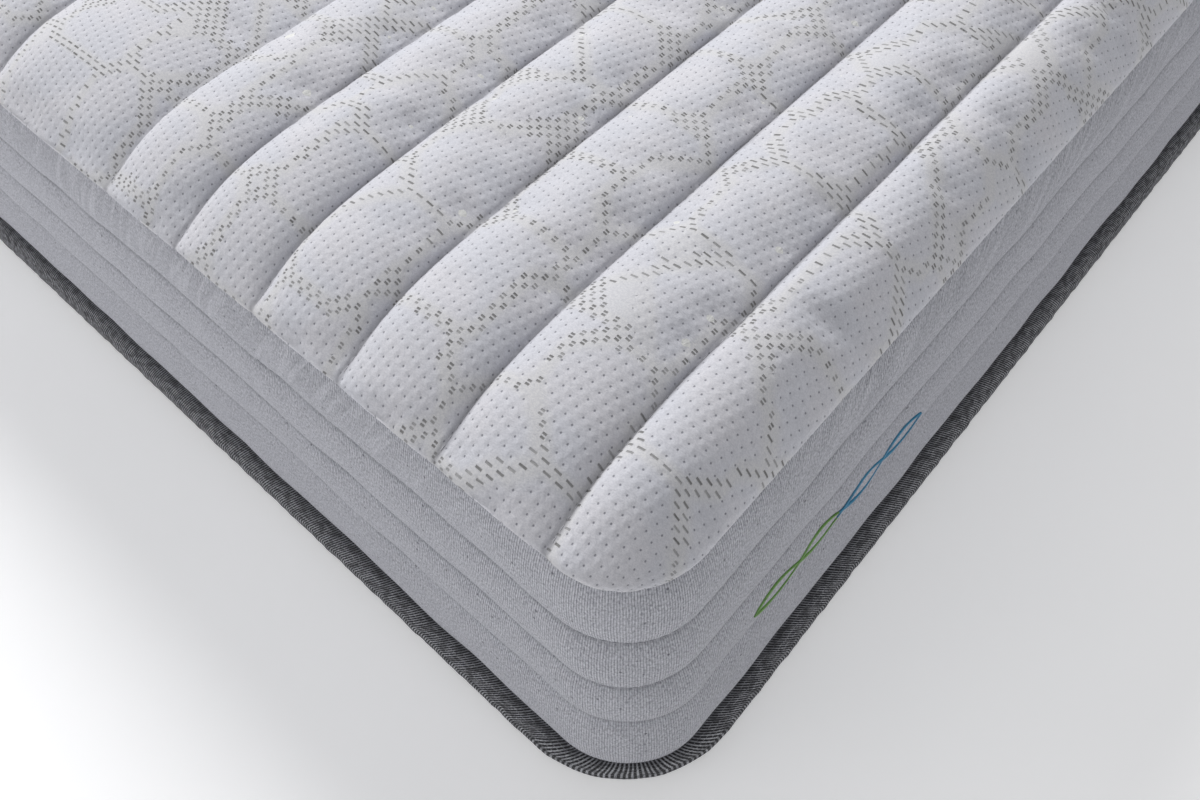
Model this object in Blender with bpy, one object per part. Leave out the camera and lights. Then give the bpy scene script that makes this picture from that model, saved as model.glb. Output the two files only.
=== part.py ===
"""Memory foam mattress: three foam layers in an inner sleeve, inside a zipped, channel-quilted cover.

X runs across the bed, Y along it with the head end at +Y, and Z up. The origin is at the centre of the
underside. Run in Blender 4.5; lengths are in metres.
"""

import math

import bmesh
import bpy
from mathutils import Matrix

# Overall size
WIDTH = 1.524
LENGTH = 2.032
HALF_X = WIDTH / 2
HALF_Y = LENGTH / 2
GAP = 0.0003

# Levels, from the underside up; the stitched lines are heights above the band
BAND_TOP = 0.025
BORDER_HEIGHT = 0.250
BORDER_TOP = BAND_TOP + BORDER_HEIGHT
BORDER_LINES = (0.072, 0.127, 0.186)

# Plan corners: the cover is rounder below than above, and most of all where the band flares out
CORNER_TOP = 0.050
CORNER_BOTTOM = 0.060
CORNER_FLARE = 0.072
FLARE_LEVEL = 0.012
CORNER_STEPS = 8

# Quilted top: valleys one pitch apart, apart from two left unsewn, which make double-width channels
PITCHES = 20
UNSEWN_VALLEYS = (7, 13)
EDGE_CHANNEL_SHARE = 0.74
PITCH = WIDTH / (PITCHES - 2 + 2 * EDGE_CHANNEL_SHARE)
KNIT = 0.0014
PUFF = 0.0105
TOP_RISE = 0.036
ROLL_LENGTH = 0.048
PUFF_START = 0.015
WADDING_AT_SEAM = 0.003
WADDING_CLEARANCE = 0.0008
WADDING_INSET = 0.012
EDGE_STATIONS_X = (0.004, 0.012, 0.026, 0.042)
EDGE_STATIONS_Y = (0.004, 0.012, 0.028, 0.050, 0.085, 0.140)
LEAST_STEP = 0.002
DOMED_CHANNELS = 2
BACKING = 0.0005
TOP_OVERHANG = 0.0015

# Border, measured inwards from the outline
ROW_BULGE = 0.0020
BORDER_KNIT = 0.0012
BORDER_WADDING_INNER = 0.0070
BORDER_BACKING_OUTER = 0.0073
BORDER_BACKING_INNER = 0.0079
THREAD_RADIUS = 0.0004

# Foam and its sleeve, rounder at the corners than the cover so that the corners stay soft
SLEEVE_CORNER = 0.066
SLAB_CORNER = 0.072
SLEEVE_OUTER = 0.0082
SLEEVE = 0.0010
SLEEVE_BOTTOM = 0.0040
FOAM_INSET = SLEEVE_OUTER + SLEEVE + GAP
BASE_FOAM_BOTTOM = 0.0020
BASE_FOAM_TOP = 0.180
TRANSITION_TOP = 0.230
SLEEVE_BELOW_BACKING = 0.0012

# Underside
PANEL = 0.0016
PANEL_INSET = 0.0090
BAND_THICKNESS = 0.0014

# Zip at the head end; depths are measured inwards from the outline
ZIP_HALF = 0.640
TAPE_HALF = ZIP_HALF + 0.016
ZIP_LEVEL = 0.0165
ZIP_SLOT_HALF = 0.0006
TAPE_DEPTHS = (0.0047, 0.0053)
COIL_DEPTHS = (0.0030, 0.0044)
COIL_HEIGHT = 0.0020
LOWER_TAPE_BOTTOM = 0.0092
WINDOW_BOTTOM = 0.0120
STOP_LENGTH = 0.0040
SLIDER_LENGTH = 0.0110
SLIDER_HALF_HEIGHT = 0.0042
SLIDER_REST = ZIP_HALF - 0.0080
PULL_AXIS_DEPTH = 0.00055
PULL_BAR_RADIUS = 0.00045
PULL_LENGTH = 0.020
PULL_WIDTH = 0.007

# Generic stitched wave on the right-hand border, as distances from the foot end
WAVE_START = 0.105
WAVE_SPLIT = 0.195
WAVE_END = 0.297
WAVE_LEVEL = BAND_TOP + (BORDER_LINES[0] + BORDER_LINES[1]) / 2
WAVE_AMPLITUDE = 0.009
WAVE_STROKE = 0.003
WAVE_THICKNESS = 0.0005


def make_material(name, colour, roughness, metallic=0.0):
    """A Principled material; each sub-part has its own."""
    material = bpy.data.materials.new(name)
    material.use_nodes = True
    shader = material.node_tree.nodes["Principled BSDF"]
    shader.inputs["Base Color"].default_value = (*colour, 1.0)
    shader.inputs["Roughness"].default_value = roughness
    shader.inputs["Metallic"].default_value = metallic
    material.diffuse_color = (*colour, 1.0)
    return material


def add_object(name, bm, colour, roughness, metallic=0.0, smooth=True):
    """Turns a bmesh into a named object with outward faces and its own material."""
    bmesh.ops.recalc_face_normals(bm, faces=bm.faces)
    mesh = bpy.data.meshes.new(name)
    bm.to_mesh(mesh)
    bm.free()
    if smooth:
        mesh.shade_smooth()
        mesh.set_sharp_from_angle(angle=math.radians(35))
    mesh.materials.append(make_material(name, colour, roughness, metallic))
    obj = bpy.data.objects.new(name, mesh)
    bpy.context.scene.collection.objects.link(obj)
    return obj


def corner_radius(z):
    """Plan radius of the cover's corners at a level."""
    share = min(max((z - BAND_TOP) / BORDER_HEIGHT, 0.0), 1.0)
    return CORNER_BOTTOM + (CORNER_TOP - CORNER_BOTTOM) * share


def outline(inset, radius):
    """Points of a rounded rectangle, set in from the full plan size, anticlockwise."""
    points = []
    r = radius - inset
    cx, cy = HALF_X - radius, HALF_Y - radius
    for quarter, (sx, sy) in enumerate(((1, 1), (-1, 1), (-1, -1), (1, -1))):
        for step in range(CORNER_STEPS + 1):
            angle = math.pi / 2 * (quarter + step / CORNER_STEPS)
            points.append((sx * cx + r * math.cos(angle), sy * cy + r * math.sin(angle)))
    return points


def loft(bm, loops, closed_section=False):
    """Bridges equal loops of vertices one after another."""
    pairs = list(zip(loops, loops[1:]))
    if closed_section:
        pairs.append((loops[-1], loops[0]))
    for low, high in pairs:
        for i in range(len(low)):
            j = (i + 1) % len(low)
            bm.faces.new((low[i], low[j], high[j], high[i]))


def ring_from_section(section, radius_at):
    """A ring that carries a closed (inset, z) section round the outline."""
    bm = bmesh.new()
    loops = []
    for inset, z in section:
        loops.append([bm.verts.new((x, y, z)) for x, y in outline(inset, radius_at(z))])
    loft(bm, loops, closed_section=True)
    return bm


def border_rows():
    """Lower and upper level of each row between the border's stitched lines."""
    edges = [BAND_TOP, *(BAND_TOP + line for line in BORDER_LINES), BORDER_TOP]
    return list(zip(edges, edges[1:]))


def row_bulge(z):
    """How far a border row stands out between its two stitched lines."""
    for low, high in border_rows():
        if z <= high:
            break
    across = (z - low) / (high - low)
    return ROW_BULGE * (1 - abs(2 * across - 1) ** 3)


def border_levels():
    """Levels that follow the four bulging rows."""
    levels = [low + (high - low) * share for low, high in border_rows() for share in (0.0, 0.18, 0.5, 0.82)]
    return [*levels, BORDER_TOP]


def make_border():
    """The border's knit, wadding and backing, one inside another."""
    levels = border_levels()
    knit = [(-row_bulge(z), z) for z in levels]
    knit += [(BORDER_KNIT - row_bulge(z), z) for z in reversed(levels)]
    add_object("border_knit", ring_from_section(knit, corner_radius), (0.38, 0.39, 0.42), 0.9)
    wadding = [(BORDER_KNIT + GAP - row_bulge(z), z) for z in levels]
    wadding += [(BORDER_WADDING_INNER, z) for z in (BORDER_TOP, BAND_TOP)]
    add_object("border_wadding", ring_from_section(wadding, corner_radius), (0.85, 0.85, 0.83), 0.95)
    backing = [(BORDER_BACKING_OUTER, z) for z in (BAND_TOP, BORDER_TOP)]
    backing += [(BORDER_BACKING_INNER, z) for z in (BORDER_TOP, BAND_TOP)]
    add_object("border_backing", ring_from_section(backing, corner_radius), (0.8, 0.8, 0.8), 0.9)


def thread_ring(name, inset, z):
    """A thread that runs right round the cover at one level."""
    sides = 5
    section = []
    for i in range(sides):
        angle = 2 * math.pi * i / sides
        section.append((inset + THREAD_RADIUS * math.cos(angle), z + THREAD_RADIUS * math.sin(angle)))
    radius = corner_radius(z)
    bm = ring_from_section(section, lambda level: radius)
    add_object(name, bm, (0.30, 0.31, 0.34), 0.8)


def make_perimeter_threads():
    """Three quilting lines on the border and the two seams that join the cover."""
    for line, word in zip(BORDER_LINES, ("lower", "middle", "upper")):
        thread_ring(f"border_thread_{word}", -THREAD_RADIUS - GAP, BAND_TOP + line)
    thread_ring("top_seam_thread", 0.0050, BORDER_TOP + 0.0015)
    thread_ring("bottom_seam_thread", 0.0073, BAND_TOP - 0.0008)


def arc_inset(x, half_x, radius):
    """How far the end of the outline is pulled in at x, inside a rounded corner."""
    over = max(abs(x) - (half_x - radius), 0.0)
    return radius - math.sqrt(max(radius * radius - over * over, 0.0))


def edge_distance(x, y, half_x, half_y, radius):
    """Distance inwards from a rounded rectangle."""
    ax, ay = abs(x) - (half_x - radius), abs(y) - (half_y - radius)
    if ax > 0 and ay > 0:
        return radius - math.hypot(ax, ay)
    return radius - max(ax, ay)


def seam_positions():
    """X of each sewn valley; where one is left unsewn, the channel is twice as wide."""
    first = HALF_X - EDGE_CHANNEL_SHARE * PITCH
    return [first - PITCH * k for k in range(PITCHES - 1) if k + 1 not in UNSEWN_VALLEYS]


def share_across(x):
    """Share of the way across x's channel, from 0 at its outer valley to 1 at its inner one."""
    lines = [HALF_X] + [seam for seam in seam_positions() if seam > 0]
    for outer, inner in zip(lines, lines[1:]):
        if abs(x) >= inner:
            return (outer - abs(x)) / (outer - inner)
    return ((lines[-1] - abs(x)) / PITCH) % 1.0


def dome(distance):
    """Height of the valleys above the perimeter seam, at a distance from the edge."""
    return TOP_RISE * (1 - math.exp(-distance / ROLL_LENGTH))


def puff(x, distance):
    """Height of the quilted surface above its valleys."""
    crown = 1 - abs(2 * share_across(x) - 1) ** 2.4
    return PUFF * crown * (1 - math.exp(-distance / PUFF_START))


def top_columns(inset, puffed):
    """X positions across the top: the edges, each valley, and points between where the height varies."""
    columns = [HALF_X - inset] + [HALF_X - d for d in EDGE_STATIONS_X if d > inset]
    seams = seam_positions()
    columns += seams
    channels = list(zip(seams, seams[1:]))
    if not puffed:
        channels = channels[:DOMED_CHANNELS] + channels[-DOMED_CHANNELS:]
    for right, left in channels:
        columns += [right + (left - right) * share for share in (0.25, 0.5, 0.75)]
    columns += [-c for c in columns if c > seams[0] + 1e-9]
    return sorted(set(round(c, 7) for c in columns))


def top_rows(x, inset, corner):
    """Y positions at one x: the sheet's own edge, then stations that every sheet shares."""
    end = HALF_Y - inset - arc_inset(x, HALF_X - inset, corner - inset)
    shared = HALF_Y - arc_inset(x, HALF_X, corner)
    ys = [end]
    for station in EDGE_STATIONS_Y:
        if station > inset:
            ys.append(min(shared - station, ys[-1] - LEAST_STEP))
    return [-y for y in ys] + [0.0] + ys[::-1]


def top_sheet(bm, inset, corner, height, puffed=False):
    """A grid over the rounded plan, as columns of vertices; height gives z from x and edge distance."""
    grid = []
    for x in top_columns(inset, puffed):
        column = []
        for y in top_rows(x, inset, corner):
            distance = max(edge_distance(x, y, HALF_X, HALF_Y, corner), 0.0)
            column.append(bm.verts.new((x, y, height(x, distance))))
        grid.append(column)
    return grid


def make_slab(name, inset, corner, lower, upper, colour, roughness, puffed=False):
    """A closed solid between two height functions over the rounded plan."""
    bm = bmesh.new()
    sheets = [top_sheet(bm, inset, corner, height, puffed) for height in (lower, upper)]
    for grid in sheets:
        fill_sheet(bm, grid)
    rims = [rim_of(grid) for grid in sheets]
    loft(bm, rims)
    return add_object(name, bm, colour, roughness)


def fill_sheet(bm, grid):
    """Faces over a grid, as triangles, so that sheets on the same stations keep their clearance."""
    for left, right in zip(grid, grid[1:]):
        for j in range(len(left) - 1):
            bm.faces.new((left[j], right[j], right[j + 1]))
            bm.faces.new((left[j], right[j + 1], left[j + 1]))


def rim_of(grid):
    """The boundary of a grid of vertices, in order."""
    rim = list(grid[0])
    rim += [column[-1] for column in grid[1:-1]]
    rim += list(reversed(grid[-1]))
    rim += [column[0] for column in reversed(grid[1:-1])]
    return rim


def knit_top(x, distance):
    """The top knit's outer face."""
    return BORDER_TOP + GAP + KNIT + dome(distance) + puff(x, distance)


def knit_under(x, distance):
    """The top knit's inner face."""
    return knit_top(x, distance) - KNIT


def wadding_under(x, distance):
    """The face that the wadding and its backing share."""
    return BORDER_TOP + dome(distance) - WADDING_AT_SEAM


def backing_under(x, distance):
    """The backing's lower face."""
    return wadding_under(x, distance) - GAP - BACKING


def sleeve_over(x, distance):
    """The inner sleeve's upper face."""
    return backing_under(x, distance) - SLEEVE_BELOW_BACKING


def foam_over(x, distance):
    """The memory foam's upper face."""
    return sleeve_over(x, distance) - SLEEVE - GAP


def make_quilt():
    """The quilted top: knit, wadding and non-woven backing."""
    white = (0.80, 0.80, 0.82)
    make_slab("top_knit_panel", -TOP_OVERHANG, CORNER_TOP, knit_under, knit_top, white, 0.85, puffed=True)
    make_slab(
        "quilt_wadding",
        WADDING_INSET,
        CORNER_TOP,
        wadding_under,
        lambda x, d: knit_under(x, d) - WADDING_CLEARANCE,
        (0.9, 0.9, 0.88),
        0.95,
        puffed=True,
    )
    make_slab(
        "quilt_backing",
        WADDING_INSET,
        CORNER_TOP,
        backing_under,
        lambda x, d: wadding_under(x, d) - GAP,
        (0.75, 0.75, 0.75),
        0.9,
    )


def make_channel_threads():
    """A quilting thread in each valley, lying just on the knit."""
    side = THREAD_RADIUS
    ys = [-HALF_Y + d for d in EDGE_STATIONS_Y] + [0.0] + [HALF_Y - d for d in reversed(EDGE_STATIONS_Y)]
    for number, x in enumerate(seam_positions(), 1):
        bm = bmesh.new()
        loops = []
        for y in ys:
            distance = edge_distance(x, y, HALF_X, HALF_Y, CORNER_TOP)
            z = knit_top(x, distance) + GAP
            corners = ((-side, z), (side, z), (side, z + 2 * side), (-side, z + 2 * side))
            loops.append([bm.verts.new((x + dx, y, level)) for dx, level in corners])
        loft(bm, loops)
        bm.faces.new(loops[0])
        bm.faces.new(loops[-1])
        add_object(f"channel_thread_{number:02d}", bm, (0.82, 0.82, 0.84), 0.7, smooth=False)


def flat_slab(name, inset, radius, levels, colour, roughness):
    """A plate with rounded plan corners and level faces."""
    bm = bmesh.new()
    loops = [[bm.verts.new((x, y, z)) for x, y in outline(inset, radius)] for z in levels]
    loft(bm, loops)
    bm.faces.new(loops[0])
    bm.faces.new(loops[1])
    return add_object(name, bm, colour, roughness)


def make_foam():
    """Base and transition slabs, and the memory foam whose top edges the cover draws down."""
    base_levels = (BASE_FOAM_BOTTOM, BASE_FOAM_TOP)
    flat_slab("base_foam_core", FOAM_INSET, SLAB_CORNER, base_levels, (0.78, 0.80, 0.83), 0.9)
    transition_levels = (BASE_FOAM_TOP + GAP, TRANSITION_TOP)
    flat_slab("transition_foam_layer", FOAM_INSET, SLAB_CORNER, transition_levels, (0.80, 0.86, 0.83), 0.9)
    make_slab(
        "memory_foam_layer",
        FOAM_INSET,
        SLEEVE_CORNER,
        lambda x, d: TRANSITION_TOP + GAP,
        foam_over,
        (0.88, 0.86, 0.78),
        0.85,
    )


def make_sleeve():
    """The stretch sleeve: drawn over the foam from above and open underneath."""
    bm = bmesh.new()
    outer = top_sheet(bm, SLEEVE_OUTER, SLEEVE_CORNER, sleeve_over)
    inner_inset = SLEEVE_OUTER + SLEEVE
    inner = top_sheet(bm, inner_inset, SLEEVE_CORNER, lambda x, d: sleeve_over(x, d) - SLEEVE)
    hems = []
    for grid in (outer, inner):
        fill_sheet(bm, grid)
        rim = rim_of(grid)
        hem = [bm.verts.new((v.co.x, v.co.y, SLEEVE_BOTTOM)) for v in rim]
        loft(bm, [rim, hem])
        hems.append(hem)
    loft(bm, hems)
    add_object("fire_sleeve", bm, (0.86, 0.86, 0.84), 0.9)


def band_radius(z):
    """Plan radius of the bottom band's corners, which grows as the band flares."""
    share = min(max((BAND_TOP - z) / (BAND_TOP - FLARE_LEVEL), 0.0), 1.0)
    return CORNER_BOTTOM + (CORNER_FLARE - CORNER_BOTTOM) * share


def band_section():
    """The bottom band as (inset, level): out and down from the border, then rolled in under the edge."""
    centre = [
        (0.0032, BAND_TOP - 0.0012),
        (-0.0012, 0.0180),
        (-0.0052, 0.0115),
        (-0.0068, 0.0065),
        (-0.0056, 0.0028),
        (-0.0016, 0.0011),
        (0.0083, 0.0011),
    ]
    half = BAND_THICKNESS / 2
    outer, inner = [], []
    for i, (d, z) in enumerate(centre):
        before, after = centre[max(i - 1, 0)], centre[min(i + 1, len(centre) - 1)]
        run_d, run_z = after[0] - before[0], after[1] - before[1]
        run = math.hypot(run_d, run_z)
        across_d, across_z = run_z / run * half, -run_d / run * half
        outer.append((d + across_d, z + across_z))
        inner.append((d - across_d, z - across_z))
    return outer + inner[::-1]


def box_mesh(low, high):
    """A box between two corners."""
    bm = bmesh.new()
    size = [h - l for l, h in zip(low, high)]
    middle = [(h + l) / 2 for l, h in zip(low, high)]
    place = Matrix.Translation(middle) @ Matrix.Diagonal((*size, 1.0))
    bmesh.ops.create_cube(bm, size=1.0, matrix=place)
    return bm


def add_boolean(obj, other, operation):
    """Joins or cuts with a helper that stays out of the model."""
    other.hide_render = True
    other.display_type = "WIRE"
    modifier = obj.modifiers.new(other.name, "BOOLEAN")
    modifier.operation = operation
    modifier.solver = "EXACT"
    modifier.object = other


def make_underside():
    """The mesh panel that rests on the bed base, and the band that joins it to the border."""
    dark = (0.09, 0.09, 0.10)
    flat_slab("bottom_mesh_panel", PANEL_INSET, CORNER_FLARE, (0.0, PANEL), dark, 0.8)
    band = add_object("bottom_mesh_band", ring_from_section(band_section(), band_radius), dark, 0.8)
    reach = 0.02
    low = (-TAPE_HALF - GAP, HALF_Y - reach, WINDOW_BOTTOM)
    high = (TAPE_HALF + GAP, HALF_Y + reach, BAND_TOP + reach)
    window = add_object("zip_window_cutter", box_mesh(low, high), dark, 0.8, smooth=False)
    add_boolean(band, window, "DIFFERENCE")


def head_box(name, half_x, depths, levels, colour, roughness, metallic=0.0, middle=0.0):
    """A block on the head-end face, given by depths in from the outline and levels."""
    low = (middle - half_x, HALF_Y - depths[1], levels[0])
    high = (middle + half_x, HALF_Y - depths[0], levels[1])
    return add_object(name, box_mesh(low, high), colour, roughness, metallic, smooth=False)


def make_zip_chain():
    """Two tapes, the coils they carry, and a stop at each end; the tapes run on past the stops."""
    grey = (0.20, 0.20, 0.21)
    upper, lower = ZIP_LEVEL + ZIP_SLOT_HALF, ZIP_LEVEL - ZIP_SLOT_HALF
    head_box("zip_upper_tape", TAPE_HALF, TAPE_DEPTHS, (upper, BAND_TOP - GAP), grey, 0.85)
    head_box("zip_lower_tape", TAPE_HALF, TAPE_DEPTHS, (LOWER_TAPE_BOTTOM, lower), grey, 0.85)
    head_box("zip_upper_coil", ZIP_HALF, COIL_DEPTHS, (upper, upper + COIL_HEIGHT), grey, 0.5)
    head_box("zip_lower_coil", ZIP_HALF, COIL_DEPTHS, (lower - COIL_HEIGHT, lower), grey, 0.5)
    levels = (lower - COIL_HEIGHT, upper + COIL_HEIGHT)
    offset = ZIP_HALF + GAP + STOP_LENGTH / 2
    for name, side in (("zip_closed_stop", 1), ("zip_open_stop", -1)):
        head_box(name, STOP_LENGTH / 2, COIL_DEPTHS, levels, grey, 0.4, middle=side * offset)


def slider_section():
    """The slider across its travel, as (depth, level): two plates, a web between and two side rails."""
    front, back = (0.0014, 0.0027), (0.0056, 0.0066)
    half, rail, rail_end, web = SLIDER_HALF_HEIGHT, 0.0012, 0.0043, 0.0003
    above = [
        (front[0], half),
        (rail_end, half),
        (rail_end, half - rail),
        (front[1], half - rail),
        (front[1], web),
        (back[0], web),
        (back[0], half),
        (back[1], half),
    ]
    below = [(depth, -level) for depth, level in reversed(above)]
    return above + below


def make_slider():
    """The slider, with the bail that holds its pull tab."""
    bm = bmesh.new()
    loops = []
    for x in (SLIDER_REST - SLIDER_LENGTH / 2, SLIDER_REST + SLIDER_LENGTH / 2):
        points = [(x, HALF_Y - depth, ZIP_LEVEL + level) for depth, level in slider_section()]
        loops.append([bm.verts.new(p) for p in points])
    loft(bm, loops)
    bm.faces.new(loops[0])
    bm.faces.new(loops[1])
    slider = add_object("zip_slider", bm, (0.25, 0.25, 0.26), 0.3, 0.9, smooth=False)
    add_boolean(slider, make_bail(), "UNION")


def make_bail():
    """An arch over the pull tab's bar, standing on the slider's front plate."""
    foot, top, crown = 0.0018, -0.0010, -0.0002
    outer, inner = 0.0019, 0.0011
    arch = [(outer, foot), (outer, top), (-outer, top), (-outer, foot)]
    arch += [(-inner, foot), (-inner, crown), (inner, crown), (inner, foot)]
    half = 0.0006
    bm = bmesh.new()
    loops = []
    for level in (ZIP_LEVEL - half, ZIP_LEVEL + half):
        points = [(SLIDER_REST + x, HALF_Y - depth, level) for x, depth in arch]
        loops.append([bm.verts.new(p) for p in points])
    loft(bm, loops)
    bm.faces.new(loops[0])
    bm.faces.new(loops[1])
    return add_object("zip_bail_helper", bm, (0.25, 0.25, 0.26), 0.3, 0.9, smooth=False)


def make_pull_tab():
    """A flat tab lying along the zip; a slot at its end leaves the round bar that the bail holds."""
    colour, thick = (0.30, 0.30, 0.31), 2 * PULL_BAR_RADIUS
    depths = (PULL_AXIS_DEPTH - thick / 2, PULL_AXIS_DEPTH + thick / 2)
    levels = (ZIP_LEVEL - PULL_WIDTH / 2, ZIP_LEVEL + PULL_WIDTH / 2)
    low = (-PULL_LENGTH, -depths[1], levels[0] - ZIP_LEVEL)
    high = (0.0, -depths[0], levels[1] - ZIP_LEVEL)
    tab = add_object("zip_pull_tab", box_mesh(low, high), colour, 0.35, 0.9, smooth=False)
    slot_half, slot_end = 0.0010, 0.0026
    reach = 0.002
    low = (-slot_end, -depths[1] - reach, -slot_half)
    high = (-PULL_BAR_RADIUS, -depths[0] + reach, slot_half)
    slot = add_object("pull_slot_cutter", box_mesh(low, high), colour, 0.35, smooth=False)
    bar = bmesh.new()
    place = Matrix.Translation((0.0, -PULL_AXIS_DEPTH, 0.0))
    bmesh.ops.create_cone(
        bar, cap_ends=True, segments=12, radius1=PULL_BAR_RADIUS, radius2=PULL_BAR_RADIUS,
        depth=PULL_WIDTH, matrix=place,
    )
    bar = add_object("pull_bar_helper", bar, colour, 0.35)
    add_boolean(tab, slot, "DIFFERENCE")
    add_boolean(tab, bar, "UNION")
    for obj in (tab, slot, bar):
        obj.location = (SLIDER_REST, HALF_Y, ZIP_LEVEL)


def make_wave(name, start, end, colour):
    """One stretch of the stitched wave: a narrow strip standing on the right-hand border."""
    steps = 16
    face = HALF_X + ROW_BULGE + GAP
    span = WAVE_END - WAVE_START
    bm = bmesh.new()
    loops = []
    for i in range(steps + 1):
        along = start + (end - start) * i / steps
        phase = (along - WAVE_START) / span
        level = WAVE_LEVEL + WAVE_AMPLITUDE * math.sin(2 * math.pi * 2 * phase)
        section = []
        for x, dz in ((0, -1), (1, -1), (1, 1), (0, 1)):
            section.append((face + x * WAVE_THICKNESS, -HALF_Y + along, level + dz * WAVE_STROKE / 2))
        loops.append([bm.verts.new(p) for p in section])
    loft(bm, loops)
    bm.faces.new(loops[0])
    bm.faces.new(loops[-1])
    add_object(name, bm, colour, 0.5, smooth=False)


def make_embroidery():
    """A generic two-colour wave, in place of any mark."""
    make_wave("wave_embroidery_green", WAVE_START, WAVE_SPLIT - GAP, (0.25, 0.50, 0.12))
    make_wave("wave_embroidery_blue", WAVE_SPLIT, WAVE_END, (0.05, 0.35, 0.60))


def main():
    """Clears the start-up objects and builds every sub-part."""
    for obj in list(bpy.data.objects):
        bpy.data.objects.remove(obj, do_unlink=True)
    make_underside()
    make_foam()
    make_sleeve()
    make_border()
    make_perimeter_threads()
    make_quilt()
    make_channel_threads()
    make_zip_chain()
    make_slider()
    make_pull_tab()
    make_embroidery()


main()
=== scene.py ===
"""Memory foam mattress: the quilted cover, its stitching, zip and layers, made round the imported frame.

X runs across the bed, Y along it with the head end at +Y, and Z up. Lengths are in metres.
"""

import math

import bpy
import numpy as np
from mathutils import Matrix, Vector


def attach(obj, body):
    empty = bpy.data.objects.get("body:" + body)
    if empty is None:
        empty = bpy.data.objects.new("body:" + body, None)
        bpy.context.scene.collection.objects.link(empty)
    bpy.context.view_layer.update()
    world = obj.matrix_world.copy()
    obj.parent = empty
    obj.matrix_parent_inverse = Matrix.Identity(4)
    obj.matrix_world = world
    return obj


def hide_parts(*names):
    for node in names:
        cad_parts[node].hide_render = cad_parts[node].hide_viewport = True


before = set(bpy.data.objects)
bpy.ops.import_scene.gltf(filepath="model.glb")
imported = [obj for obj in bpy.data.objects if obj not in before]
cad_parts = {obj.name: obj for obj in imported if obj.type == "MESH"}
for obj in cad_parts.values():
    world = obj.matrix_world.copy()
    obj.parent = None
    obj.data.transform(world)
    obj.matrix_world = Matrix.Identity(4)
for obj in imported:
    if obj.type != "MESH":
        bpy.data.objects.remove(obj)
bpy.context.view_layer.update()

BODY = "mattress"
ACROSS, ALONG, UP = np.eye(3)

# Plan and levels, as in the CAD
WIDTH, LENGTH = 1.524, 2.032
HALF_X, HALF_Y = WIDTH / 2, LENGTH / 2
BAND_TOP = 0.025
BORDER_HEIGHT = 0.250
BORDER_TOP = BAND_TOP + BORDER_HEIGHT
LINE_LEVELS = [BAND_TOP + height for height in (0.072, 0.127, 0.186)]
CORNER_TOP, CORNER_BOTTOM, CORNER_FLARE = 0.050, 0.060, 0.072
FLARE_LEVEL = 0.012

# Quilted top: valleys one pitch apart, apart from two left unsewn, which make double-width channels
PITCHES = 20
UNSEWN_VALLEYS = (7, 13)
EDGE_SHARE = 0.74
PITCH = WIDTH / (PITCHES - 2 + 2 * EDGE_SHARE)
EDGE_WIDTH = EDGE_SHARE * PITCH
KNIT = 0.0014
TOP_RISE = 0.036
ROLL_END, ROLL_SIDE = 0.048, 0.026
DOME_BLEND = 4.0
PUFF, PUFF_START = 0.0130, 0.018
PLUMP_SPREAD = 0.05
VALLEY_PUCKER, EDGE_PUCKER = 0.00045, 0.0005
LIP, LIP_SWELL, LIP_DEPTH = 0.0046, 0.0016, 0.0035
TUCK, TUCK_DEPTH = 0.0022, 0.0015
VALLEY_SWAY = 0.0007
CHANNEL_SHARES = (0.0, 0.018, 0.055, 0.12, 0.22, 0.35, 0.5, 0.65, 0.78, 0.88, 0.945, 0.982)
NEAR_EDGE = (0.0, 0.0006, 0.0015, 0.003, 0.005, 0.0075, 0.0105, 0.014, 0.018, 0.023, 0.029, 0.036, 0.043)
EDGE_STATIONS = (*NEAR_EDGE, 0.050, 0.0545)
END_STATIONS = (*NEAR_EDGE, 0.051, 0.060)
ROW_STEP = 0.0052

# Cloth simulation of the top
SIM_SHARES = (0.0, 0.12, 0.35, 0.5, 0.65, 0.88)
SIM_FRAMES = 16
SIM_CAP = 0.0035
SIM_SETTINGS = {
    "quality": 4, "mass": 0.25, "tension_stiffness": 12.0, "compression_stiffness": 12.0,
    "shear_stiffness": 4.0, "bending_stiffness": 0.15, "vertex_group_mass": "sewn",
    "use_pressure": True, "uniform_pressure_force": 4.0, "shrink_min": -0.010,
}

# Border; hems are (height above the seam, offset outwards)
ROW_BULGE, ROW_CREASE = 0.0052, -0.0012
FOOT_SWELL = 0.0012
TOP_HEM = ((0.0006, -0.0050), (0.0004, -0.0030), (-0.0006, -0.0012))
FOOT_HEM = ((0.0002, 0.0008), (-0.0007, -0.0004), (-0.0005, -0.0018), (0.0006, -0.0028))
LEVEL_SHARES = (0.0, 0.025, 0.08, 0.18, 0.32, 0.5, 0.68, 0.82, 0.92, 0.975)
GATHER, SLOW_WAVE = 0.0012, 0.0006
SLOW_WAVES = {"lengths": (0.09, 0.21), "seed": 41}
STRAIGHT_STEP, ARC_STEPS = 0.0038, 22
COARSE_STEP, COARSE_ARC_STEPS = 0.02, 12

# Inner layers: insets from the outline, and distances below the top's valleys
SLEEVE_OUTER, SLEEVE_CORNER, SLEEVE_HEM = 0.0082, 0.066, 0.004
FOAM_INSET = SLEEVE_OUTER + 0.0013
SLAB_CORNER, SLAB_EDGE, CUT_WAVE = 0.072, 0.004, 0.0003
BASE_FOAM, TRANSITION_FOAM, MEMORY_FOAM_LOW = (0.002, 0.180), (0.1803, 0.230), 0.2303
QUILT_INSET = 0.012
WADDING_TOP, WADDING_UNDER, BACKING_TOP, BACKING_UNDER = 0.0009, 0.003, 0.0033, 0.0038
SLEEVE_TOP, MEMORY_FOAM_TOP = 0.0052, 0.0066
BORDER_WADDING_BACK, BORDER_BACKING_FRONT, BORDER_BACKING_BACK = -0.0070, -0.0073, -0.0079
INNER_SHARES = (0.0, 0.5)
INNER_STEP = 0.04

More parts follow.
